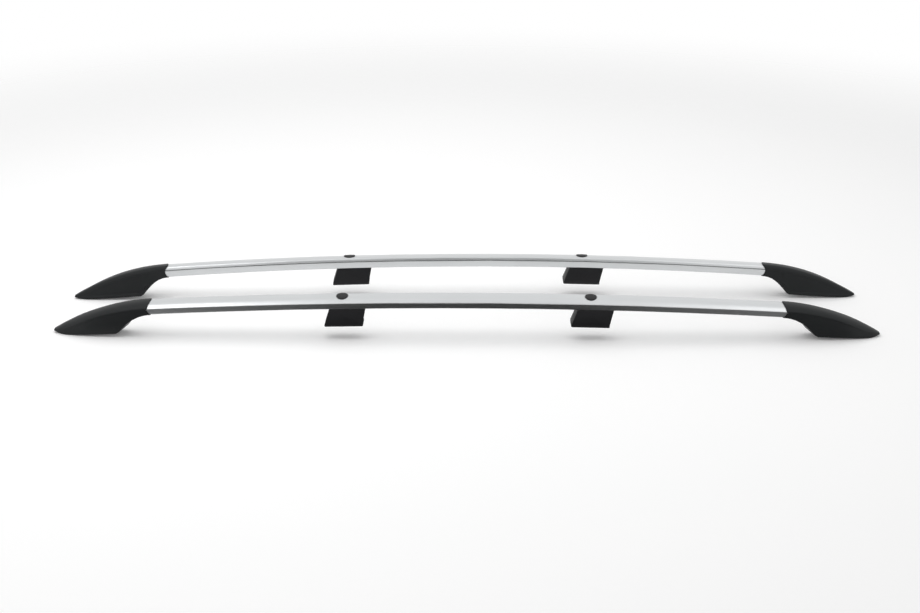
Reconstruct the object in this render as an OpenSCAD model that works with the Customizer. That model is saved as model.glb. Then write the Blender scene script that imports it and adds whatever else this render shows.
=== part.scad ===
// Pair of roof side rails: hollow arched bars, moulded end caps over cast brackets, raked middle legs.
// X runs along the rails with the front at -X, Y runs across with the left rail at -Y, Z is up.
// The origin is on the ground between the two rails, and the noses of the end feet stand on it.

/* [Pair] */
// Distance between the middles of the two rails at half length
rail_spacing = 256; // [200:1:1200]
// Angle by which each rail runs inward towards the front
toe_in = 0.55; // [0:0.05:2]

/* [Bar] */
// Length of bar that shows between the end caps
bar_span = 1390; // [1100:10:1700]
// Height of the bar's section
bar_h = 26; // [24:0.5:30]
// Width of the bar's section
bar_w = 41; // [38:0.5:48]
// Wall of the extruded section
bar_wall = 2.2; // [1.6:0.1:3]
// How far the middle of the bar stands above its ends
bar_rise = 21; // [12:1:30]
// How far the middle of the bar stands out sideways from its ends
bar_bow = 8; // [3:1:14]
// Height of the underside of the bar at half length
bar_lift = 75; // [68:1:84]
// Height of the outer crease above the bar's underside
crease_z = 14.5; // [12:0.5:17]
// Height of the inner groove above the bar's underside
groove_z = 17; // [15:0.5:19]
// Width of that groove
groove_h = 2.4; // [1.6:0.2:3]
// Depth of that groove
groove_d = 1.2; // [0.6:0.1:1.4]
// How far the lower edges stand in from the creases
edge_tuck = 3.5; // [2:0.5:5]

/* [End cap] */
// Length of an end cap from the bar's joint line to its tip
cap_l = 223; // [205:1:245]
// Wall of the moulded cap
cap_wall = 2.4; // [1.8:0.1:3]
// How far the cap stands proud of the bar
collar_t = 1.2; // [0.9:0.1:1.6]
// How far the bar's end goes into the cap
collar_l = 16; // [12:1:22]
// Depth of the crescent in the cap's mouth
crescent_d = 7; // [3:0.5:9]
// Thickness of the cap at its tip
tip_t = 3; // [2:0.5:5]
// Distance from the joint line to the heel of the foot
heel_l = 70; // [60:1:78]
// Distance from the tip back to where the nose meets the ground
nose_back = 28; // [22:1:34]
// Height of the tip's underside above the ground
tip_lift = 4.5; // [3:0.5:6]
// How far the tip lies to the inner side of the bar's middle
tip_in = 8; // [2:1:12]
// Height of the flange round the inner side of the foot
flange_h = 7; // [4:0.5:9]
// How far that flange stands out
flange_out = 3; // [1.5:0.5:4]
// Length over which that flange runs out past the heel
flange_run = 60; // [40:5:80]
// Length from the joint line over which the cap keeps the bar's width
taper_l = 60; // [45:5:70]
// Length of solid plastic at the tip
tip_solid = 34; // [28:1:40]
// Slope of the foot's rim, which follows the roof
foot_tilt = 3.9; // [2:0.1:5]
// Skew of the heel across the foot
heel_skew = 0.3; // [0:0.05:0.4]

/* [End bracket] */
// Length of the spigot inside the bar
spigot_l = 55; // [40:1:80]
// Width of the bracket's arm
arm_w = 14; // [10:1:18]
// Thickness of the bracket's foot plate
plate_t = 5; // [4:0.5:7]
// Distance from the joint line to the roof bolt
bolt_l = 118; // [112:1:125]
// Diameter of the bore for the roof bolt
bolt_bore = 8.5; // [6.5:0.5:9]
// Height of the boss round that bore
boss_h = 22; // [16:1:26]
// Outer diameter of that boss
boss_d = 18; // [16:1:20]
// Distance from the roof bolt on to the screw that holds the cap
cap_screw_back = 22; // [18:1:26]
// Distance from the nose line back to the end of the foot plate
plate_back = 24; // [20:1:30]

/* [Middle leg] */
// Distance of each middle leg from half length
leg_x = 272; // [200:1:400]
// Length of a leg's base
leg_l = 85; // [80:1:100]
// Length of a leg's top
leg_top_l = 79; // [70:1:90]
// Height from the bar's underside to the bottom of the leg
leg_h = 37; // [30:1:38]
// Depth of a leg's base
leg_w = 40; // [38:1:44]
// Depth of a leg's top
leg_top_w = 33; // [30:1:34]
// How far the leg's top leans back over its base
leg_rake = 10; // [0:1:12]
// How far the leg's base stands back from the roof screw
leg_shift = 1.5; // [0:0.5:3]
// Radius of the leg's rounded lower corner
leg_round = 5; // [3:1:8]
// Wall of the moulded leg
leg_wall = 3; // [2:0.5:4]
// Distance between a leg's two fixing screws
leg_screw_gap = 50; // [44:1:54]
// How far those screws stand to the outer side of the roof screw
leg_screw_out = 4; // [0:0.5:5]
// Outer diameter of the steel sleeve in a leg
sleeve_d = 12; // [11:0.5:14]
// Bore of that sleeve
sleeve_bore = 8.4; // [6.4:0.1:8.8]

/* [Gaskets and plugs] */
// Thickness of a gasket under a foot
gasket_t = 3; // [2:0.5:5]
// How far a gasket stands below the edge of an end foot
gasket_proud = 0.6; // [0.2:0.1:1]
// Length of the slot in an end gasket
slot_l = 32; // [24:1:36]
// Width of the slot in an end gasket
slot_w = 11; // [10:0.5:14]
// Length of the slot in a leg gasket
leg_slot_l = 21; // [14:1:26]
// Width of the slot in a leg gasket
leg_slot_w = 9.5; // [9:0.5:12]
// Diameter of a plug's head
plug_d = 25.5; // [24:0.5:28]
// Thickness of a plug's head
plug_t = 1.6; // [1.2:0.1:2.4]
// Diameter of the hole in the bar's top
hole_d = 22; // [18:0.5:23]
// Slope of the bar's top at the hole
top_slope = 4.7; // [2:0.1:7]

/* [Screws] */
// Diameter of a fixing screw
screw_d = 5; // [4:0.5:6]
// Diameter of a screw's head
screw_head_d = 9; // [8:0.5:11]
// Height of a screw's head
screw_head_h = 3; // [2:0.5:4]
// Length of a bracket screw
bracket_screw_l = 12; // [8:1:16]
// How deep a screw reaches into the bar from below
leg_screw_grip = 8; // [6:0.5:10]
// Gap between a screw and its hole
screw_gap = 0.1; // [0.05:0.05:0.3]
// Gap between pieces that slide together
fit_gap = 0.25; // [0.15:0.05:0.5]
// Gap between pieces that only rest face to face
seat_gap = 0.05; // [0:0.05:0.2]

/* [Hidden] */
// Radius and lean of the one arc that the bar, the legs and the feet follow
arc_sag = sqrt(bar_rise * bar_rise + bar_bow * bar_bow);
arc_r = bar_span * bar_span / (8 * arc_sag) + arc_sag / 2;
arc_lean = atan(bar_bow / bar_rise);
joint_x = bar_span / 2;
bar_end = joint_x + collar_l;
nose_l = cap_l - nose_back;
leg_screw_mid = leg_shift + leg_rake / 2;
// Softening length of each edge of the section, the same on bar and cap
bar_edges = [2, 0.5, 0.3, 0.8, 7, 12, 1.2, 2];
cap_edges = [2, 0.8, 2, 0.8, 0.9, 7, 12, 1.4, 1.5, 2];
// The shoulders of the section: how far in from the sides, and how far the crown falls
shoulder_in = 5;
shoulder_out = 11.5;
crown_fall = 2;
// How far the inner side steps in below its groove
groove_step = 1.3;
joint_slope = tan(asin(joint_x / arc_r)) * cos(arc_lean);
// Height of the bracket's seat on the gasket at the nose line, where the cap's edge is on the ground
rim_z = gasket_t - gasket_proud;
cavity_end = cap_l - tip_solid;
section_min = bar_h + 2 * collar_t;
// How late the arch drops to the heel, and where the foot starts to widen and to grow its flange
arch_power = 2.2;
widen_from = heel_l / 4;
// How far the foot plate and the gasket stay clear of the cap's wall
seat_inset = 1.5;
arc_fn = 2880;

function mix(a, b, t) = a + (b - a) * t;
function ease(a, b, x) = let (t = min(1, max(0, (x - a) / (b - a)))) t * t * (3 - 2 * t);

// A closed outline with each corner softened by a short curve of the given steps
function soften(corners, edges, steps) = [
    for (i = [0 : len(corners) - 1])
        let (
            n = len(corners),
            p = corners[i],
            before = corners[(i + n - 1) % n] - p,
            after = corners[(i + 1) % n] - p,
            a = p + before * min(0.45, edges[i] / norm(before)),
            b = p + after * min(0.45, edges[i] / norm(after))
        )
        for (k = [0 : steps])
            let (t = k / steps)
            a * (1 - t) * (1 - t) + p * 2 * t * (1 - t) + b * t * t
];

// The bar's middle line at its underside, at a place along the rail
function arc_y(x) = arc_r * sin(arc_lean) * (cos(asin(x / arc_r)) - 1);
function arc_z(x) = bar_lift + arc_r * cos(arc_lean) * (cos(asin(x / arc_r)) - 1);

// The bar's section, with the outer side at +Y, seen along the rail
function bar_corners() = [
    [-bar_w / 2 + edge_tuck, 0],
    [-bar_w / 2 + groove_step, groove_z - groove_h / 2],
    [-bar_w / 2 + groove_step + groove_d, groove_z],
    [-bar_w / 2, groove_z + groove_h / 2],
    [-bar_w / 2 + shoulder_in, bar_h],
    [bar_w / 2 - shoulder_out, bar_h - crown_fall],
    [bar_w / 2, crease_z],
    [bar_w / 2 - edge_tuck, 0]
];

module bar_section(grow) {
    offset(delta = grow) polygon(soften(bar_corners(), bar_edges, 4));
}

// One stretch of a section swept along the bar's arc, between two places along the rail
module arc_sweep(from_x, to_x, grow) {
    from_a = asin(from_x / arc_r);
    to_a = asin(to_x / arc_r);
    translate([0, -arc_r * sin(arc_lean), bar_lift - arc_r * cos(arc_lean)])
        rotate([90 - arc_lean, 0, 0])
            rotate([0, 0, 90 - to_a])
                rotate_extrude(angle = to_a - from_a, $fn = arc_fn)
                    translate([arc_r, 0]) rotate(arc_lean - 90) bar_section(grow);
}

// Carries something made at half length to its place along the arc
module on_arc(x) {
    middle = [0, -arc_r * sin(arc_lean), bar_lift - arc_r * cos(arc_lean)];
    translate(middle)
        rotate(a = asin(x / arc_r), v = [0, cos(arc_lean), -sin(arc_lean)])
            translate(-middle) children();
}

module fixing_screw(l) {
    $fn = 24;
    cylinder(d = screw_head_d, h = screw_head_h);
    translate([0, 0, screw_head_h - 0.01]) cylinder(d = screw_d, h = l + 0.01);
}

module bar() {
    color("gainsboro") difference() {
        arc_sweep(-bar_end, bar_end, 0);
        arc_sweep(-bar_end - 1, bar_end + 1, -bar_wall);
        for (x = [-leg_x, leg_x])
            on_arc(x) {
                plug_place() translate([0, 0, -bar_wall * 2]) cylinder(d = hole_d, h = bar_wall * 4, $fn = 48);
                translate([0, 0, bar_lift - 1]) cylinder(d = sleeve_bore + 1, h = bar_wall + 2, $fn = 32);
                leg_screw_places() translate([0, 0, bar_lift - 1])
                    cylinder(d = screw_d + 2 * screw_gap, h = bar_wall + 2, $fn = 24);
            }
        for (side = [-1, 1])
            bracket_screw_places(side) translate([0, 0, bar_lift - 1])
                cylinder(d = screw_d + 2 * screw_gap, h = bar_wall + 2, $fn = 24);
    }
}

// The place of a plug's seat on the bar's top, at half length
module plug_place() {
    translate([0, 0, bar_lift + bar_h - crown_fall * (bar_w / 2 - shoulder_in)
        / (bar_w - shoulder_in - shoulder_out)])
        rotate([-top_slope, 0, 0]) children();
}

module leg_screw_places() {
    for (x = [-leg_screw_gap / 2, leg_screw_gap / 2])
        translate([leg_screw_mid + x, leg_screw_out, 0]) children();
}

module bracket_screw_places(side) {
    for (back = [18, 38])
        on_arc(side * (joint_x - back)) children();
}

// The back of the cap: a tangent arc from the bar's top down to the tip
back_top = arc_z(joint_x) + bar_h + collar_t;
back_fall = back_top - tip_lift - tip_t;
back_a = atan(joint_slope);
back_r = norm([cap_l, back_fall]) / (2 * sin(atan(back_fall / cap_l) - back_a));
function back_z(s) = back_top - back_r * (cos(back_a) - cos(asin(sin(back_a) + max(s, 0) / back_r)));

// The bracket's seat rises from the nose to the heel, as the cap's edge does a little below it
function rim_line(s) = rim_z + (nose_l - s) * tan(foot_tilt);
function edge_line(s) = rim_line(s) - rim_z;

// The cap's underside: an arch at the joint, a straight edge, and a nose that rises to the tip
function under_z(s) =
    s > nose_l ? tip_lift * pow((s - nose_l) / nose_back, 2)
    : s > heel_l ? edge_line(s)
    : let (z = arc_z(joint_x) - collar_t, drop = z - joint_slope * heel_l - edge_line(heel_l))
        z - joint_slope * s - drop * pow(max(s, 0) / heel_l, arch_power);

// How full the cap is in plan, from 1 at the joint to nearly 0 at the tip, on its outer and inner side
function reach(s) = min(0.985, max(0, (s - taper_l) / (cap_l - taper_l)));
function fill_out(s) = pow(1 - pow(reach(s), 2.5), 0.4);
function fill_in(s) = pow(1 - pow(reach(s), 3), 1 / 3);

// Half widths of the foot at its rim, measured from the bar's middle line
function foot_out(s) = mix(-tip_in, bar_w / 2 + collar_t - edge_tuck * (1 - ease(widen_from, heel_l, s)), fill_out(s));
function foot_in(s) = mix(-tip_in, -bar_w / 2 - collar_t + edge_tuck * (1 - ease(widen_from, heel_l, s)), fill_in(s));
function flange(s) = flange_out * ease(widen_from, heel_l, s) * (1 - ease(heel_l + flange_run, cap_l, s));

// The cap's section at a distance past the joint line, drawn inward by a wall, with its underside at low
function cap_corners(s, wall, low) = let (
    top = back_z(s) - wall,
    out = mix(-tip_in, bar_w / 2 + collar_t, fill_out(s)) - wall,
    in = mix(-tip_in, -bar_w / 2 - collar_t, fill_in(s)) + wall,
    k = min(1, (back_z(s) - under_z(s)) / section_min, (out - in) / (bar_w - 8)),
    band = mix(2, flange_h, ease(widen_from, heel_l, s)) * k,
    inner_crease = top - (bar_h - groove_z) * k,
    outer_crease = top - (bar_h - crease_z) * k,
    foot = foot_in(s) + wall
) [
    [foot - flange(s), low],
    [foot - flange(s) * 0.9, low + band],
    [foot, low + band + 1.2 * k],
    [in + 1.3 * k, inner_crease - k],
    [in, inner_crease + 0.6 * k],
    [in + shoulder_in * k, top],
    [out - shoulder_out * k, top - crown_fall * k],
    [out, outer_crease],
    [out - 1.6 * k, outer_crease - 3.2 * k],
    [foot_out(s) - wall, low]
];

// The heel is skewed across the foot, so the sections lean there
function skew(s) = heel_skew * ease(0, heel_l - 12, s) * (1 - ease(heel_l + 25, nose_l - 15, s));

function cap_ring(s, wall, low, steps) = [
    for (p = soften(cap_corners(s, wall, low), cap_edges, steps))
        [joint_x + s + skew(s) * p[0], p[0] + arc_y(joint_x + s), p[1] - skew(s) * p[0] * tan(foot_tilt)]
];

// A solid through a row of rings that have the same number of points
module loft(rings) {
    n = len(rings[0]);
    m = len(rings);
    polyhedron(
        points = [for (ring = rings) each ring],
        faces = [
            [for (i = [n - 1 : -1 : 0]) i],
            [for (i = [0 : n - 1]) (m - 1) * n + i],
            for (j = [0 : m - 2], i = [0 : n - 1])
                let (a = j * n + i, b = j * n + (i + 1) % n)
                each [[a, b, a + n], [b, b + n, a + n]]
        ]
    );
}

// Where the rings of the cap and of its hollow stand
cap_stations = [
    -2,
    for (f = [0.1, 0.22, 0.38, 0.55, 0.7, 0.84, 0.96]) f * heel_l,
    for (f = [0.03, 0.13, 0.27, 0.42, 0.57, 0.7, 0.82, 0.92, 1]) mix(heel_l, nose_l, f),
    for (f = [0.35, 0.65, 0.88, 1]) mix(nose_l, cap_l, f)
];
cavity_stations = [
    collar_l,
    for (f = [0.3, 0.6, 1]) mix(collar_l, heel_l - 10, f),
    for (f = [0, 0.15, 0.35, 0.6, 0.82, 1]) mix(heel_l + 6, cavity_end, f)
];

module cap_skin() {
    loft([for (s = cap_stations) cap_ring(s, 0, under_z(s), 2)]);
}

// Hollow of the cap, which opens downward between the heel and the nose
module cap_hollow(wall) {
    loft([
        for (s = cavity_stations)
            cap_ring(s, wall, s < heel_l ? under_z(s) + wall * mix(1, 2.4, s / heel_l) : under_z(s) - 12, 1)
    ]);
}

// Tapered ribs down both side walls, which bear on the bracket's foot plate
module cap_gussets() {
    for (f = [0.15, 0.26, 0.62, 0.74], side = [-1, 1])
        let (s = mix(heel_l, nose_l, f), y = (side < 0 ? foot_in(s) : foot_out(s)) + arc_y(joint_x + s))
        hull() {
            translate([joint_x + s, y, rim_line(s) + plate_t + 3]) cube([2, 14, 1], center = true);
            translate([joint_x + s, y, back_z(s) - 14]) cube([2, 6, 1], center = true);
        }
}

// Carries something to the place of the cap's screw, with its origin on the bracket's seat
module cap_screw_place() {
    s = bolt_l + cap_screw_back;
    translate([joint_x + s, arc_y(joint_x + s) - tip_in / 2, rim_line(s)]) children();
}

module cap_screw_boss() {
    cap_screw_place() translate([0, 0, plate_t + 1]) cylinder(d = screw_d + 4, h = bar_lift, $fn = 20);
}

// Moulded end cap with its crescent mouth, made for the rear end
module end_cap() {
    color([0.13, 0.13, 0.14]) difference() {
        cap_skin();
        difference() {
            cap_hollow(cap_wall);
            cap_gussets();
            cap_screw_boss();
        }
        arc_sweep(joint_x - 20, joint_x + collar_l, fit_gap);
        mouth_cutter();
        cap_screw_hole();
    }
}

// A cylinder that lies across the mouth and leaves the crescent
module mouth_cutter() {
    h = bar_h / 2 + collar_t;
    r = (h * h + crescent_d * crescent_d) / (2 * crescent_d);
    translate([joint_x + crescent_d - r, 0, arc_z(joint_x) + bar_h / 2])
        rotate([90, 0, 0]) cylinder(r = r, h = 3 * bar_w, center = true, $fn = 64);
}

// The cap's screw passes up through the foot plate, with its head let in flush
module cap_screw_hole() {
    cap_screw_place() cylinder(d = screw_d + 2 * screw_gap, h = screw_head_h + bracket_screw_l + 1, $fn = 16);
    cap_screw_place() translate([0, 0, -1])
        cylinder(d = screw_head_d + 2 * fit_gap, h = screw_head_h + 1 + 2 * seat_gap, $fn = 24);
}

// Carries something drawn on the ground to the foot's rim plane, with its origin at the nose line
module on_rim(lift) {
    translate([joint_x + nose_l, arc_y(joint_x + bolt_l), rim_z])
        rotate([0, foot_tilt, 0]) translate([0, 0, lift]) children();
}

// The foot's outline on its rim plane between two distances past the joint line, drawn inward
function foot_outline(from_s, to_s, inset) = let (
    steps = 9,
    stations = [for (i = [0 : steps]) mix(from_s, to_s, i / steps)],
    place = function (s, y) [
        (s - nose_l + skew(s) * y) / cos(foot_tilt),
        y + arc_y(joint_x + s) - arc_y(joint_x + bolt_l)
    ]
) [
    for (s = stations) place(s, foot_out(s) - inset),
    for (i = [steps : -1 : 0]) place(stations[i], foot_in(stations[i]) + inset)
];

// Cast bracket: a spigot in the bar, an arm down inside the cap and a foot plate with the bolt's boss
module end_bracket() {
    arm_y = arc_y(joint_x + bolt_l / 2);
    color([0.62, 0.63, 0.64]) difference() {
        union() {
            arc_sweep(joint_x - spigot_l, joint_x + collar_l - fit_gap, -bar_wall - fit_gap);
            translate([0, arm_y + arm_w / 2, 0]) rotate([90, 0, 0]) linear_extrude(arm_w) polygon(arm_outline());
            on_rim(seat_gap) linear_extrude(plate_t)
                polygon(foot_outline(heel_l + 8, nose_l - plate_back, cap_wall + seat_inset));
            on_rim(seat_gap) translate([(bolt_l - nose_l) / cos(foot_tilt), 0, 0])
                cylinder(d = boss_d, h = boss_h, $fn = 48);
        }
        on_rim(-1) translate([(bolt_l - nose_l) / cos(foot_tilt), 0, 0])
            cylinder(d = bolt_bore, h = boss_h + 30, $fn = 48);
        cap_screw_hole();
        bracket_screw_places(1) translate([0, 0, bar_lift - 1])
            cylinder(d = screw_d + 2 * screw_gap, h = bracket_screw_l + 2, $fn = 24);
    }
}

// Side outline of the arm, which keeps clear under the cap's back and over its arch
function arm_outline() = [
    for (s = [collar_l - 6, 30, 45, 60, 75]) [joint_x + s, back_z(s) - cap_wall - 6],
    [joint_x + bolt_l + 4, rim_line(bolt_l + 4) + boss_h * 0.7],
    [joint_x + bolt_l + 12, rim_line(bolt_l + 12) + plate_t * 0.8],
    [joint_x + heel_l + 12, rim_line(heel_l + 12) + 1],
    for (s = [heel_l + 8, 50, 38, 28, collar_l - 6]) [joint_x + s, under_z(min(s, heel_l - 6)) + cap_wall * 3]
];

module bracket_screws() {
    color("silver") {
        bracket_screw_places(1)
            translate([0, 0, bar_lift - screw_head_h - seat_gap]) fixing_screw(bracket_screw_l);
        cap_screw_place() translate([0, 0, seat_gap]) fixing_screw(bracket_screw_l);
    }
}

// Gasket under an end foot, with its slot for the roof bolt
module end_gasket() {
    color([0.07, 0.07, 0.07]) difference() {
        on_rim(-gasket_t) linear_extrude(gasket_t - seat_gap)
            polygon(foot_outline(heel_l + 10, nose_l - plate_back, cap_wall + seat_inset));
        on_rim(-gasket_t - 1) translate([(bolt_l - nose_l) / cos(foot_tilt), 0, 0])
            linear_extrude(gasket_t + 2) square([slot_l, slot_w], center = true);
        cap_screw_place() translate([0, 0, -gasket_t - 1])
            cylinder(d = screw_head_d + 2, h = gasket_t + 2, $fn = 24);
    }
}

// Side view of a leg below the bar's underside, drawn inward by a wall
function leg_side(wall) = let (
    top = leg_top_l / 2 - wall,
    base = leg_l / 2 - wall,
    turn = [for (i = [0 : 6]) [
        leg_shift + base - leg_round * (1 - cos(i * 15)),
        -leg_h + leg_round * (1 - sin(i * 15))
    ]]
) [
    [leg_shift - base, -leg_h],
    [leg_shift + leg_rake - top, 1],
    [leg_shift + leg_rake + top, 1],
    each wall > 0 ? [[leg_shift + base, -leg_h]] : turn
];

// End view of a leg, drawn inward by a wall
function leg_end(wall) = [
    [-leg_w / 2 + wall, -leg_h],
    [-leg_top_w / 2 + wall, 1],
    [leg_top_w / 2 - wall, 1],
    [leg_w / 2 - wall, -leg_h]
];

module leg_block(wall) {
    translate([0, 0, bar_lift]) intersection() {
        translate([0, leg_w, 0]) rotate([90, 0, 0]) linear_extrude(2 * leg_w) polygon(leg_side(wall));
        rotate([90, 0, 90]) translate([0, 0, -leg_l]) linear_extrude(2 * leg_l) polygon(leg_end(wall));
    }
}

// Moulded leg, raked back, hollow from below, with a boss for the sleeve and two for its screws
module leg() {
    bottom = bar_lift - leg_h;
    color([0.1, 0.1, 0.1]) difference() {
        leg_block(0);
        difference() {
            intersection() {
                leg_block(leg_wall);
                translate([-leg_l, -leg_w, bottom - 1]) cube([2 * leg_l, 2 * leg_w, leg_h + 1 - leg_wall]);
            }
            translate([0, 0, bottom]) cylinder(d = sleeve_d + 2 * leg_wall, h = leg_h, $fn = 40);
            leg_screw_places() translate([0, 0, bottom + 6])
                cylinder(d = screw_head_d + 3, h = leg_h - 6, $fn = 32);
            translate([-leg_l, -1, bottom + 8]) cube([2 * leg_l, 2, leg_h - 8]);
        }
        translate([0, 0, bottom - 1]) cylinder(d = sleeve_d + 2 * screw_gap, h = leg_h + 3, $fn = 40);
        leg_screw_places() translate([0, 0, bottom - 1])
            cylinder(d = screw_d + 2 * screw_gap, h = leg_h + 3, $fn = 24);
        leg_screw_places() translate([0, 0, bottom - 1])
            cylinder(d = screw_head_d + 2 * fit_gap, h = 11 + screw_head_h, $fn = 32);
        translate([-leg_l, 0, bar_lift]) rotate([90, 0, 90]) linear_extrude(2 * leg_l)
            bar_section(leg_l * leg_l / (8 * arc_r) + seat_gap);
    }
}

module leg_sleeve() {
    color("darkgray") translate([0, 0, bar_lift - leg_h]) difference() {
        cylinder(d = sleeve_d, h = leg_h - seat_gap, $fn = 40);
        translate([0, 0, -1]) cylinder(d = sleeve_bore, h = leg_h + 2, $fn = 40);
    }
}

module leg_screws() {
    color("silver") leg_screw_places()
        translate([0, 0, bar_lift - leg_h + 10 - seat_gap])
            fixing_screw(leg_h - 10 - screw_head_h + leg_screw_grip);
}

// Gasket under a leg, with the slot for the roof screw and two openings under the fixing screws
module leg_gasket() {
    color([0.07, 0.07, 0.07]) translate([0, 0, bar_lift - leg_h - gasket_t - seat_gap]) difference() {
        linear_extrude(gasket_t) offset(r = 4, $fn = 32) offset(delta = -4)
            translate([leg_shift, 0]) polygon([
                [-leg_l / 2, -leg_w / 2],
                [leg_l / 2, -leg_w / 2],
                [leg_l / 2, leg_w / 2],
                [-leg_l / 2, leg_w / 2]
            ]);
        translate([0, 0, -1]) linear_extrude(gasket_t + 2) square([leg_slot_l, leg_slot_w], center = true);
        leg_screw_places() translate([0, 0, -1]) cylinder(d = screw_head_d + 1, h = gasket_t + 2, $fn = 24);
    }
}

// Rubber plug: a head that follows the bar's crown and a hollow stem in the hole
module plug() {
    stem = hole_d - 2 * fit_gap;
    color([0.08, 0.08, 0.08]) {
        intersection() {
            plug_place() translate([0, 0, -4]) cylinder(d = plug_d, h = 8 + plug_t, $fn = 48);
            translate([-plug_d, 0, bar_lift]) rotate([90, 0, 90]) linear_extrude(2 * plug_d) difference() {
                bar_section(plug_t);
                bar_section(seat_gap);
            }
        }
        plug_place() difference() {
            translate([0, 0, -6]) cylinder(d = stem, h = 6.2, $fn = 48);
            translate([0, 0, -7]) cylinder(d = stem - 3, h = 6, $fn = 48);
        }
    }
}

// One rail is drawn with its outer side at +Y; the left rail is its mirror image
module rail(side) {
    translate([0, side * rail_spacing / 2, 0]) mirror([0, side < 0 ? 1 : 0, 0]) rotate([0, 0, toe_in]) children();
}

// One end of a rail, drawn for the rear
module end(side, way) {
    rail(side) mirror([way < 0 ? 1 : 0, 0, 0]) children();
}

module middle(side, way) {
    rail(side) on_arc(way * leg_x) children();
}

rail(-1) bar();  // left_bar
rail(1) bar();  // right_bar
end(-1, -1) end_cap();  // left_front_cap
end(-1, 1) end_cap();  // left_rear_cap
end(1, -1) end_cap();  // right_front_cap
end(1, 1) end_cap();  // right_rear_cap
end(-1, -1) end_bracket();  // left_front_bracket
end(-1, 1) end_bracket();  // left_rear_bracket
end(1, -1) end_bracket();  // right_front_bracket
end(1, 1) end_bracket();  // right_rear_bracket
end(-1, -1) bracket_screws();  // left_front_bracket_screws
end(-1, 1) bracket_screws();  // left_rear_bracket_screws
end(1, -1) bracket_screws();  // right_front_bracket_screws
end(1, 1) bracket_screws();  // right_rear_bracket_screws
end(-1, -1) end_gasket();  // left_front_gasket
end(-1, 1) end_gasket();  // left_rear_gasket
end(1, -1) end_gasket();  // right_front_gasket
end(1, 1) end_gasket();  // right_rear_gasket
middle(-1, -1) leg();  // left_front_leg
middle(-1, 1) leg();  // left_rear_leg
middle(1, -1) leg();  // right_front_leg
middle(1, 1) leg();  // right_rear_leg
middle(-1, -1) leg_sleeve();  // left_front_leg_sleeve
middle(-1, 1) leg_sleeve();  // left_rear_leg_sleeve
middle(1, -1) leg_sleeve();  // right_front_leg_sleeve
middle(1, 1) leg_sleeve();  // right_rear_leg_sleeve
middle(-1, -1) leg_screws();  // left_front_leg_screws
middle(-1, 1) leg_screws();  // left_rear_leg_screws
middle(1, -1) leg_screws();  // right_front_leg_screws
middle(1, 1) leg_screws();  // right_rear_leg_screws
middle(-1, -1) leg_gasket();  // left_front_leg_gasket
middle(-1, 1) leg_gasket();  // left_rear_leg_gasket
middle(1, -1) leg_gasket();  // right_front_leg_gasket
middle(1, 1) leg_gasket();  // right_rear_leg_gasket
middle(-1, -1) plug();  // left_front_plug
middle(-1, 1) plug();  // left_rear_plug
middle(1, -1) plug();  // right_front_plug
middle(1, 1) plug();  // right_rear_plug
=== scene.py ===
import math

import bmesh
import bpy
from bpy.props import FloatProperty, FloatVectorProperty, PointerProperty
from bpy.types import Operator, Panel, PropertyGroup
from mathutils import Matrix, Vector


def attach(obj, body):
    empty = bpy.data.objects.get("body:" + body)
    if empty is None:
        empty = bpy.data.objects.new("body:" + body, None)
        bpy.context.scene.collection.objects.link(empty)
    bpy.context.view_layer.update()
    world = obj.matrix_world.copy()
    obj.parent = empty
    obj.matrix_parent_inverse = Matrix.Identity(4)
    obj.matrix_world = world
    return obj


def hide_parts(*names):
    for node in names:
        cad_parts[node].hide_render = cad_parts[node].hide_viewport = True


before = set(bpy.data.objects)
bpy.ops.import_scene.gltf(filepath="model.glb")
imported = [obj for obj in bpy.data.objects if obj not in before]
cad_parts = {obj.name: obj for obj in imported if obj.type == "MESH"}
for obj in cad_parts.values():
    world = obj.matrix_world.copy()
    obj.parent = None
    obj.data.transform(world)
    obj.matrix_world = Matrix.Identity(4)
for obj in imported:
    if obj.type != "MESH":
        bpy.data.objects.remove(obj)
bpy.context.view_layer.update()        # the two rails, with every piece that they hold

bl_info = {
    "name": "Roof Side Rail Pair",
    "version": (1, 0, 0),
    "blender": (4, 5, 0),
    "location": "3D View > Sidebar > Rails",
    "description": "Finishes a pair of roof side rails and sets them in a plain studio",
    "category": "Object",
}

MM = 0.001
IMAGE_WIDTH = 920
SENSOR_WIDTH = 36.0

# Corners nearer than this are one corner, and faces that meet at less than this angle are one face
MERGE_DISTANCE = 0.002 * MM
FLAT_ANGLE = math.radians(0.3)

# An edge with a greater angle than this stays sharp
BAR_SHARP = math.radians(24)
CAP_SHARP = math.radians(38)
LEG_SHARP = math.radians(35)
HARDWARE_SHARP = math.radians(30)


def linear(hex_colour):
    """One sRGB hex colour as linear red, green and blue."""
    parts = [int(hex_colour[i:i + 2], 16) / 255 for i in (1, 3, 5)]
    return tuple(c / 12.92 if c <= 0.04045 else ((c + 0.055) / 1.055) ** 2.4 for c in parts)


class BarFinish(PropertyGroup):
    """Satin anodised extrusion."""

    colour: FloatVectorProperty(
        name="Colour", description="Colour of the anodised bar", subtype="COLOR",
        default=linear("#D2D4D5"))
    roughness: FloatProperty(
        name="Roughness", description="Roughness of the satin anodising", default=0.34, min=0.1, max=0.8)
    line_spacing: FloatProperty(
        name="Line Spacing", description="Distance between the die lines along the bar",
        default=1.4 * MM, unit="LENGTH")


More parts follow.
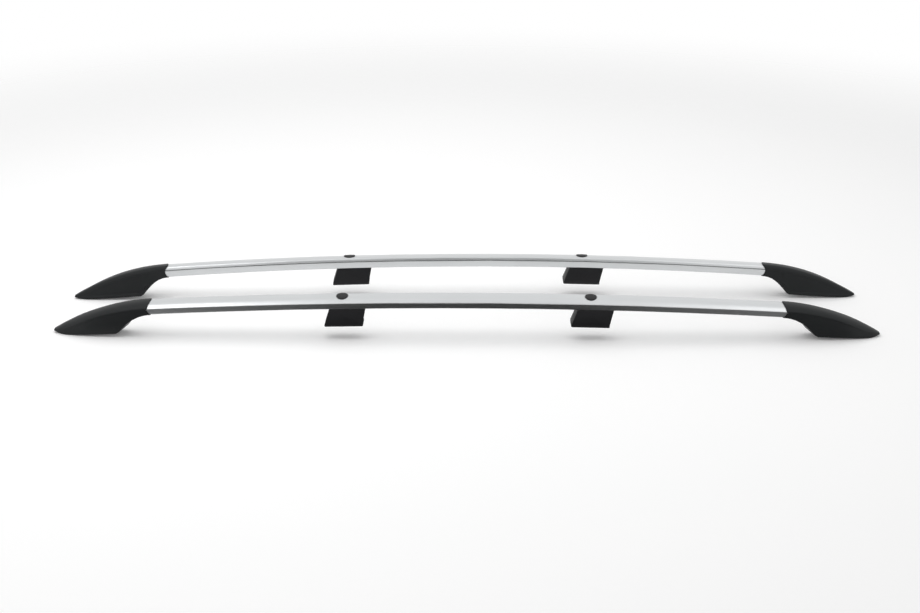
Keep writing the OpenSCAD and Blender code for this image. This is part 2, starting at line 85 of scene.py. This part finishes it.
class MouldingFinish(PropertyGroup):
    """Grained plastic of the end caps and the middle legs."""

    cap_colour: FloatVectorProperty(
        name="Cap Colour", description="Colour of the end caps", subtype="COLOR",
        default=linear("#202223"))
    leg_colour: FloatVectorProperty(
        name="Leg Colour", description="Colour of the middle legs", subtype="COLOR",
        default=linear("#1D1D1F"))
    cap_roughness: FloatProperty(
        name="Cap Roughness", description="Roughness of the end caps", default=0.46, min=0.1, max=0.9)
    leg_roughness: FloatProperty(
        name="Leg Roughness", description="Roughness of the middle legs", default=0.55, min=0.1, max=0.9)
    grain: FloatProperty(
        name="Grain", description="Size of the moulded grain", default=1.1 * MM, unit="LENGTH")
    edge_radius: FloatProperty(
        name="Edge Radius", description="Radius of the moulded edges of a leg",
        default=0.9 * MM, unit="LENGTH")


class HardwareFinish(PropertyGroup):
    """Cast, plated and rubber pieces."""

    cast_colour: FloatVectorProperty(
        name="Cast Colour", description="Colour of the cast brackets", subtype="COLOR",
        default=linear("#A3A5A6"))
    zinc_colour: FloatVectorProperty(
        name="Zinc Colour", description="Colour of the plated steel", subtype="COLOR",
        default=linear("#C6C5BE"))
    rubber_colour: FloatVectorProperty(
        name="Rubber Colour", description="Colour of the gaskets and plugs", subtype="COLOR",
        default=linear("#1C1C1D"))


class Studio(PropertyGroup):
    """Camera, floor and lamps."""

    azimuth: FloatProperty(
        name="Azimuth", description="Turn of the camera round the pair", subtype="ANGLE",
        default=math.radians(-0.22))
    elevation: FloatProperty(
        name="Elevation", description="Height of the camera above the horizon", subtype="ANGLE",
        default=math.radians(22.52))
    roll: FloatProperty(
        name="Roll", description="Turn of the camera about its own view", subtype="ANGLE",
        default=math.radians(0.136))
    distance: FloatProperty(
        name="Distance", description="Distance from the camera to the point it looks at",
        default=3443 * MM, unit="LENGTH")
    target: FloatVectorProperty(
        name="Target", description="Point that the camera looks at", subtype="TRANSLATION",
        default=(-13.7 * MM, 0.0, 20.0 * MM))
    focal_pixels: FloatProperty(
        name="Focal Length", description="Focal length in pixels of the image's width", default=1504.0)
    sky: FloatProperty(
        name="Sky", description="Strength of the soft light from all round", default=0.62, min=0.0, max=1.0)
    floor_colour: FloatVectorProperty(
        name="Floor Colour", description="Colour of the pale floor", subtype="COLOR",
        default=linear("#FAFAFA"))
    floor_glow: FloatProperty(
        name="Floor Glow", description="White that the floor adds to its own look, but not to the light",
        default=0.09, min=0.0, max=0.3)
    fade_from: FloatProperty(
        name="Fade From", description="Radius at which the floor starts to fade",
        default=1.8, unit="LENGTH")
    fade_to: FloatProperty(
        name="Fade To", description="Radius at which the floor has run out", default=3.2, unit="LENGTH")


def settings():
    """The sizes and colours that the sidebar shows."""
    return bpy.context.scene.rail_pair


class RailPair(PropertyGroup):
    """All settings of the pair."""

    bar: PointerProperty(type=BarFinish)
    moulding: PointerProperty(type=MouldingFinish)
    hardware: PointerProperty(type=HardwareFinish)
    studio: PointerProperty(type=Studio)


def add(tree, kind, properties, inputs):
    """Adds a node with its properties, and sets or links each named input."""
    node = tree.nodes.new(kind)
    for name, value in properties.items():
        setattr(node, name, value)
    for name, value in inputs.items():
        if isinstance(value, bpy.types.NodeSocket):
            tree.links.new(value, node.inputs[name])
        else:
            node.inputs[name].default_value = value
    return node


def new_material(name, colour):
    """An empty node material with its viewport colour, and its tree."""
    material = bpy.data.materials.new(name)
    material.use_nodes = True
    material.diffuse_color = (*colour, 1)
    material.node_tree.nodes.clear()
    return material, material.node_tree


def shade(colour, factor):
    """A colour made darker or lighter by a factor, with alpha."""
    return (*(min(1.0, c * factor) for c in colour), 1)


def anodised_aluminium(finish):
    """Extruded, etched and clear anodised: satin, nearly white, with faint die lines along its length."""
    material, tree = new_material("anodised_aluminium", finish.colour)
    place = add(tree, "ShaderNodeTexCoord", {}, {})
    # The real die lines are finer than the render can show, so they are drawn a little coarser. Each
    # is 250 times as long as it is wide
    across = 1 / finish.line_spacing
    along = across / 250
    stretched = add(tree, "ShaderNodeMapping", {}, {
        "Vector": place.outputs["Object"], "Scale": (along, across, across)})
    lines = add(tree, "ShaderNodeTexNoise", {}, {
        "Vector": stretched.outputs["Vector"], "Scale": 1.0, "Detail": 2.0, "Roughness": 0.6})
    clouds = add(tree, "ShaderNodeTexNoise", {}, {
        "Vector": place.outputs["Object"], "Scale": 1 / (90 * MM), "Detail": 2.0})
    cloudy = add(tree, "ShaderNodeMix", {"data_type": "RGBA"}, {
        "Factor": clouds.outputs["Fac"],
        "A": shade(finish.colour, 0.95), "B": shade(finish.colour, 1.03)})
    # Painted shade: ambient occlusion darkens the colour nearly to black in the narrow grooves and where
    # other parts touch the bar, which draws the dark line along the grooves
    depth = add(tree, "ShaderNodeAmbientOcclusion", {"samples": 8}, {"Distance": 4 * MM})
    painted_groove_shade = add(tree, "ShaderNodeMapRange", {}, {
        "Value": depth.outputs["AO"], "From Min": 0.4, "From Max": 0.9, "To Min": 1.0, "To Max": 0.0})
    colour = add(tree, "ShaderNodeMix", {"data_type": "RGBA"}, {
        "Factor": painted_groove_shade.outputs["Result"],
        "A": cloudy.outputs["Result"], "B": shade(finish.colour, 0.02)})
    roughness = add(tree, "ShaderNodeMapRange", {}, {
        "Value": lines.outputs["Fac"],
        "To Min": finish.roughness - 0.05, "To Max": finish.roughness + 0.05})
    bump = add(tree, "ShaderNodeBump", {}, {
        "Height": lines.outputs["Fac"], "Strength": 0.12, "Distance": 0.05 * MM})
    shader = add(tree, "ShaderNodeBsdfPrincipled", {}, {
        "Base Color": colour.outputs["Result"], "Metallic": 1.0,
        "Roughness": roughness.outputs["Result"], "Normal": bump.outputs["Normal"]})
    add(tree, "ShaderNodeOutputMaterial", {}, {"Surface": shader.outputs["BSDF"]})
    return material


def moulded_plastic(name, finish_colour, grain, roughness):
    """Injection moulded plastic with a spark-eroded grain: dark, even, with a soft wide highlight."""
    material, tree = new_material(name, finish_colour)
    place = add(tree, "ShaderNodeTexCoord", {}, {})
    cells = add(tree, "ShaderNodeTexVoronoi", {}, {
        "Vector": place.outputs["Object"], "Scale": 1 / grain})
    flow = add(tree, "ShaderNodeTexNoise", {}, {
        "Vector": place.outputs["Object"], "Scale": 1 / (45 * MM), "Detail": 3.0})
    colour = add(tree, "ShaderNodeMix", {"data_type": "RGBA"}, {
        "Factor": flow.outputs["Fac"],
        "A": shade(finish_colour, 0.86), "B": shade(finish_colour, 1.14)})
    gloss = add(tree, "ShaderNodeMapRange", {}, {
        "Value": flow.outputs["Fac"], "To Min": roughness - 0.04, "To Max": roughness + 0.04})
    bump = add(tree, "ShaderNodeBump", {}, {
        "Height": cells.outputs["Distance"], "Strength": 0.35, "Distance": 0.06 * MM})
    shader = add(tree, "ShaderNodeBsdfPrincipled", {}, {
        "Base Color": colour.outputs["Result"], "Roughness": gloss.outputs["Result"],
        "IOR": 1.5, "Specular IOR Level": 0.2, "Normal": bump.outputs["Normal"]})
    add(tree, "ShaderNodeOutputMaterial", {}, {"Surface": shader.outputs["BSDF"]})
    return material


def cast_aluminium(finish):
    """Pressure die cast, as it leaves the die: dull grey with a slightly uneven skin."""
    material, tree = new_material("cast_aluminium", finish.cast_colour)
    place = add(tree, "ShaderNodeTexCoord", {}, {})
    skin = add(tree, "ShaderNodeTexNoise", {}, {
        "Vector": place.outputs["Object"], "Scale": 1 / (2.5 * MM), "Detail": 4.0})
    colour = add(tree, "ShaderNodeMix", {"data_type": "RGBA"}, {
        "Factor": skin.outputs["Fac"],
        "A": shade(finish.cast_colour, 0.82), "B": shade(finish.cast_colour, 1.05)})
    bump = add(tree, "ShaderNodeBump", {}, {
        "Height": skin.outputs["Fac"], "Strength": 0.4, "Distance": 0.15 * MM})
    shader = add(tree, "ShaderNodeBsdfPrincipled", {}, {
        "Base Color": colour.outputs["Result"], "Metallic": 1.0, "Roughness": 0.52,
        "Normal": bump.outputs["Normal"]})
    add(tree, "ShaderNodeOutputMaterial", {}, {"Surface": shader.outputs["BSDF"]})
    return material


def zinc_plated_steel(finish):
    """Steel with bright zinc plating: pale, slightly warm, with a cloudy bloom."""
    material, tree = new_material("zinc_plated_steel", finish.zinc_colour)
    place = add(tree, "ShaderNodeTexCoord", {}, {})
    bloom = add(tree, "ShaderNodeTexNoise", {}, {
        "Vector": place.outputs["Object"], "Scale": 1 / (4 * MM), "Detail": 2.0})
    roughness = add(tree, "ShaderNodeMapRange", {}, {
        "Value": bloom.outputs["Fac"], "To Min": 0.22, "To Max": 0.42})
    colour = add(tree, "ShaderNodeMix", {"data_type": "RGBA"}, {
        "Factor": bloom.outputs["Fac"],
        "A": shade(finish.zinc_colour, 0.9), "B": shade(finish.zinc_colour, 1.04)})
    shader = add(tree, "ShaderNodeBsdfPrincipled", {}, {
        "Base Color": colour.outputs["Result"], "Metallic": 1.0, "Roughness": roughness.outputs["Result"]})
    add(tree, "ShaderNodeOutputMaterial", {}, {"Surface": shader.outputs["BSDF"]})
    return material


def moulded_rubber(finish):
    """Compression moulded rubber: black, matt, with a fine bloom."""
    material, tree = new_material("moulded_rubber", finish.rubber_colour)
    place = add(tree, "ShaderNodeTexCoord", {}, {})
    bloom = add(tree, "ShaderNodeTexNoise", {}, {
        "Vector": place.outputs["Object"], "Scale": 1 / (3 * MM), "Detail": 3.0})
    colour = add(tree, "ShaderNodeMix", {"data_type": "RGBA"}, {
        "Factor": bloom.outputs["Fac"],
        "A": shade(finish.rubber_colour, 0.8), "B": shade(finish.rubber_colour, 1.3)})
    bump = add(tree, "ShaderNodeBump", {}, {
        "Height": bloom.outputs["Fac"], "Strength": 0.25, "Distance": 0.05 * MM})
    shader = add(tree, "ShaderNodeBsdfPrincipled", {}, {
        "Base Color": colour.outputs["Result"], "Roughness": 0.72, "IOR": 1.52,
        "Normal": bump.outputs["Normal"]})
    add(tree, "ShaderNodeOutputMaterial", {}, {"Surface": shader.outputs["BSDF"]})
    return material


def named(ending):
    """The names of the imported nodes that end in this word."""
    return sorted(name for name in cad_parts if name.endswith(ending))


def finished_piece(node, word, material, sharp_angle, edge_radius=0.0):
    """A merged copy of a node with smooth shading, and edges rounded when a radius is given, which stands
    in the node's place.
    """
    mesh = bpy.data.meshes.new(f"{node}_{word}")
    shape = bmesh.new()
    shape.from_mesh(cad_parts[node].data)
    bmesh.ops.remove_doubles(shape, verts=shape.verts, dist=MERGE_DISTANCE)
    bmesh.ops.dissolve_limit(shape, angle_limit=FLAT_ANGLE, verts=shape.verts, edges=shape.edges)
    if edge_radius:
        edges = [e for e in shape.edges if len(e.link_faces) == 2 and e.calc_face_angle() > sharp_angle]
        bmesh.ops.bevel(
            shape, geom=edges, offset=edge_radius, offset_type="OFFSET", affect="EDGES", segments=2,
            profile=0.5, material=-1, clamp_overlap=True)
    for face in shape.faces:
        face.smooth = True
    shape.to_mesh(mesh)
    shape.free()
    mesh.set_sharp_from_angle(angle=sharp_angle)
    piece = bpy.data.objects.new(mesh.name, mesh)
    bpy.context.scene.collection.objects.link(piece)
    mesh.materials.append(material)
    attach(piece, "root")
    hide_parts(node)
    return piece


class RAILS_OT_bars(Operator):
    """Finish the two extruded bars"""

    bl_idname = "rails.bars"
    bl_label = "Bars"

    def execute(self, context):
        material = anodised_aluminium(settings().bar)
        for node in named("_bar"):
            finished_piece(node, "extrusion", material, BAR_SHARP)
        return {"FINISHED"}


class RAILS_OT_caps(Operator):
    """Finish the four moulded end caps"""

    bl_idname = "rails.caps"
    bl_label = "End Caps"

    def execute(self, context):
        finish = settings().moulding
        material = moulded_plastic(
            "grained_cap_plastic", finish.cap_colour, finish.grain, finish.cap_roughness)
        for node in named("_cap"):
            finished_piece(node, "moulding", material, CAP_SHARP)
        return {"FINISHED"}


class RAILS_OT_legs(Operator):
    """Finish the four moulded middle legs"""

    bl_idname = "rails.legs"
    bl_label = "Middle Legs"

    def execute(self, context):
        finish = settings().moulding
        material = moulded_plastic(
            "grained_leg_plastic", finish.leg_colour, finish.grain, finish.leg_roughness)
        for node in named("_leg"):
            finished_piece(node, "moulding", material, LEG_SHARP, finish.edge_radius)
        return {"FINISHED"}


class RAILS_OT_brackets(Operator):
    """Finish the cast brackets that carry the bar's ends"""

    bl_idname = "rails.brackets"
    bl_label = "End Brackets"

    def execute(self, context):
        material = cast_aluminium(settings().hardware)
        for node in named("_bracket"):
            finished_piece(node, "casting", material, HARDWARE_SHARP)
        return {"FINISHED"}


class RAILS_OT_fixings(Operator):
    """Finish the plated screws and sleeves"""

    bl_idname = "rails.fixings"
    bl_label = "Screws and Sleeves"

    def execute(self, context):
        material = zinc_plated_steel(settings().hardware)
        for node in named("_screws") + named("_sleeve"):
            finished_piece(node, "plated", material, HARDWARE_SHARP)
        return {"FINISHED"}


class RAILS_OT_rubber(Operator):
    """Finish the gaskets under the feet and the plugs in the bars"""

    bl_idname = "rails.rubber"
    bl_label = "Gaskets and Plugs"

    def execute(self, context):
        material = moulded_rubber(settings().hardware)
        for node in named("_gasket"):
            finished_piece(node, "pad", material, HARDWARE_SHARP)
        for node in named("_plug"):
            finished_piece(node, "bung", material, HARDWARE_SHARP)
        return {"FINISHED"}


def soft_lamp(name, place, aim, width, height, power):
    """A large area lamp that faces a point."""
    light = bpy.data.lights.new(name, "AREA")
    light.shape = "RECTANGLE"
    light.size = width
    light.size_y = height
    light.energy = power
    lamp = bpy.data.objects.new(name, light)
    bpy.context.scene.collection.objects.link(lamp)
    facing = (Vector(aim) - Vector(place)).to_track_quat("-Z", "Y")
    lamp.matrix_world = Matrix.Translation(place) @ facing.to_matrix().to_4x4()
    return lamp


def dark_card(name, place, tilt, half_length, half_height, middle_colour, end_colour):
    """A grey glowing card that only reflections see, darkest in its middle: a painted dark reflection,
    which darkens the bars' lower faces.
    """
    mesh = bpy.data.meshes.new(name)
    shape = bmesh.new()
    bmesh.ops.create_grid(shape, x_segments=1, y_segments=1, size=1.0)
    bmesh.ops.scale(shape, vec=(half_length, half_height, 1), verts=shape.verts)
    bmesh.ops.rotate(shape, matrix=Matrix.Rotation(tilt, 3, "X"), verts=shape.verts)
    bmesh.ops.translate(shape, vec=place, verts=shape.verts)
    shape.to_mesh(mesh)
    shape.free()
    card = bpy.data.objects.new(name, mesh)
    bpy.context.scene.collection.objects.link(card)
    material, tree = new_material(f"{name}_paper", linear(middle_colour))
    spot = add(tree, "ShaderNodeTexCoord", {}, {})
    axes = add(tree, "ShaderNodeSeparateXYZ", {}, {"Vector": spot.outputs["Object"]})
    # The painted reflection is even over the middle quarter, and its tone changes from there to the ends
    reach = add(tree, "ShaderNodeMath", {"operation": "ABSOLUTE"}, {0: axes.outputs["X"]})
    grade = add(tree, "ShaderNodeMapRange", {}, {
        "Value": reach.outputs["Value"], "From Min": half_length * 0.25, "From Max": half_length})
    tone = add(tree, "ShaderNodeMix", {"data_type": "RGBA"}, {
        "Factor": grade.outputs["Result"],
        "A": (*linear(middle_colour), 1), "B": (*linear(end_colour), 1)})
    light = add(tree, "ShaderNodeEmission", {}, {"Color": tone.outputs["Result"], "Strength": 1.0})
    add(tree, "ShaderNodeOutputMaterial", {}, {"Surface": light.outputs["Emission"]})
    mesh.materials.append(material)
    card.visible_camera = False
    card.visible_diffuse = False
    card.visible_shadow = False
    card.visible_transmission = False
    return card


def seen_directly(tree):
    """1 for camera, glossy and transmission rays, and 0 for the rays that carry light."""
    rays = add(tree, "ShaderNodeLightPath", {}, {})
    first = add(tree, "ShaderNodeMath", {"operation": "MAXIMUM"}, {
        0: rays.outputs["Is Camera Ray"], 1: rays.outputs["Is Glossy Ray"]})
    both = add(tree, "ShaderNodeMath", {"operation": "MAXIMUM"}, {
        0: first.outputs["Value"], 1: rays.outputs["Is Transmission Ray"]})
    return both.outputs["Value"]


def white_surround(strength):
    """A world that is white to look at and gives a softer light."""
    world = bpy.data.worlds.new("white_surround")
    bpy.context.scene.world = world
    world.use_nodes = True
    tree = world.node_tree
    tree.nodes.clear()
    level = add(tree, "ShaderNodeMapRange", {}, {
        "Value": seen_directly(tree), "To Min": strength, "To Max": 1.0})
    background = add(tree, "ShaderNodeBackground", {}, {
        "Color": (1, 1, 1, 1), "Strength": level.outputs["Result"]})
    add(tree, "ShaderNodeOutputWorld", {}, {"Surface": background.outputs["Background"]})


def pale_floor(studio):
    """A wide matt floor that runs out into the white surround."""
    mesh = bpy.data.meshes.new("floor")
    shape = bmesh.new()
    bmesh.ops.create_circle(shape, cap_ends=True, segments=64, radius=studio.fade_to)
    shape.to_mesh(mesh)
    shape.free()
    floor = bpy.data.objects.new("floor", mesh)
    bpy.context.scene.collection.objects.link(floor)
    material, tree = new_material("matt_white_paper", studio.floor_colour)
    place = add(tree, "ShaderNodeTexCoord", {}, {})
    reach = add(tree, "ShaderNodeVectorMath", {"operation": "LENGTH"}, {0: place.outputs["Object"]})
    fade = add(tree, "ShaderNodeMapRange", {"interpolation_type": "SMOOTHSTEP"}, {
        "Value": reach.outputs["Value"], "From Min": studio.fade_from, "From Max": studio.fade_to})
    paper = add(tree, "ShaderNodeBsdfDiffuse", {}, {"Color": (*studio.floor_colour, 1)})
    # Paper that is a little overexposed, so it looks whiter than the lamps make it
    lift = add(tree, "ShaderNodeMapRange", {}, {"Value": seen_directly(tree), "To Max": studio.floor_glow})
    glow = add(tree, "ShaderNodeEmission", {}, {"Strength": lift.outputs["Result"]})
    white = add(tree, "ShaderNodeAddShader", {}, {0: paper.outputs["BSDF"], 1: glow.outputs["Emission"]})
    clear = add(tree, "ShaderNodeBsdfTransparent", {}, {})
    mixed = add(tree, "ShaderNodeMixShader", {}, {
        0: fade.outputs["Result"], 1: white.outputs["Shader"], 2: clear.outputs["BSDF"]})
    add(tree, "ShaderNodeOutputMaterial", {}, {"Surface": mixed.outputs["Shader"]})
    mesh.materials.append(material)
    return floor


def photo_camera(studio):
    """A camera at the photograph's angle, with no shift and no depth of field."""
    data = bpy.data.cameras.new("camera")
    data.sensor_width = SENSOR_WIDTH
    data.lens = studio.focal_pixels / IMAGE_WIDTH * SENSOR_WIDTH
    camera = bpy.data.objects.new("camera", data)
    bpy.context.scene.collection.objects.link(camera)
    turn = Matrix.Rotation(studio.azimuth, 4, "Z")
    tilt = Matrix.Rotation(math.pi / 2 - studio.elevation, 4, "X")
    roll = Matrix.Rotation(studio.roll, 4, "Z")
    back = Matrix.Translation((0, 0, studio.distance))
    camera.matrix_world = Matrix.Translation(studio.target) @ turn @ tilt @ roll @ back
    bpy.context.scene.camera = camera


class RAILS_OT_stage(Operator):
    """Set up the floor, the surround, the lamps and the camera"""

    bl_idname = "rails.stage"
    bl_label = "Studio"

    def execute(self, context):
        studio = settings().studio
        context.scene.view_settings.view_transform = "Standard"
        white_surround(studio.sky)
        pale_floor(studio)
        # Painted reflections: two glowing cards, seen only in reflections, darken the lower faces of the
        # bars
        dark_card(
            "floor_card", place=(0, -0.45, 4 * MM), tilt=0, half_length=0.86, half_height=0.3,
            middle_colour="#3A3A3A", end_colour="#7C7C7C")
        dark_card(
            "front_card", place=(0, -2.0, 1.9), tilt=math.radians(48), half_length=0.92, half_height=0.62,
            middle_colour="#1C1C1C", end_colour="#8A8A8A")
        overhead = soft_lamp(
            "overhead_lamp", place=(-0.6, 0.5, 2.6), aim=(0, 0, 0), width=3.0, height=2.0, power=30)
        overhead.visible_glossy = False
        soft_lamp("left_lamp", place=(-1.3, -0.55, 2.0), aim=(-0.6, 0, 0), width=0.9, height=0.5, power=4)
        soft_lamp("right_lamp", place=(1.3, -0.55, 2.0), aim=(0.6, 0, 0), width=0.9, height=0.5, power=1.4)
        photo_camera(studio)
        return {"FINISHED"}


class RAILS_PT_sidebar(Panel):
    """Pieces and studio of the pair of rails"""

    bl_label = "Roof Side Rails"
    bl_idname = "RAILS_PT_sidebar"
    bl_space_type = "VIEW_3D"
    bl_region_type = "UI"
    bl_category = "Rails"

    def draw(self, context):
        layout = self.layout
        pair = settings()
        for group, operators in (
                (pair.bar, (RAILS_OT_bars,)),
                (pair.moulding, (RAILS_OT_caps, RAILS_OT_legs)),
                (pair.hardware, (RAILS_OT_brackets, RAILS_OT_fixings, RAILS_OT_rubber)),
                (pair.studio, (RAILS_OT_stage,))):
            box = layout.box()
            for name in group.__annotations__:
                box.prop(group, name)
            for operator in operators:
                box.operator(operator.bl_idname)


CLASSES = (
    BarFinish, MouldingFinish, HardwareFinish, Studio, RailPair,
    RAILS_OT_bars, RAILS_OT_caps, RAILS_OT_legs, RAILS_OT_brackets, RAILS_OT_fixings,
    RAILS_OT_rubber, RAILS_OT_stage, RAILS_PT_sidebar,
)


def register():
    for cls in CLASSES:
        bpy.utils.register_class(cls)
    bpy.types.Scene.rail_pair = PointerProperty(type=RailPair)


def unregister():
    del bpy.types.Scene.rail_pair
    for cls in reversed(CLASSES):
        bpy.utils.unregister_class(cls)


def main():
    """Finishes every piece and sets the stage."""
    register()
    bpy.ops.rails.bars()
    bpy.ops.rails.caps()
    bpy.ops.rails.legs()
    bpy.ops.rails.brackets()
    bpy.ops.rails.fixings()
    bpy.ops.rails.rubber()
    bpy.ops.rails.stage()


if __name__ == "__main__":
    main()
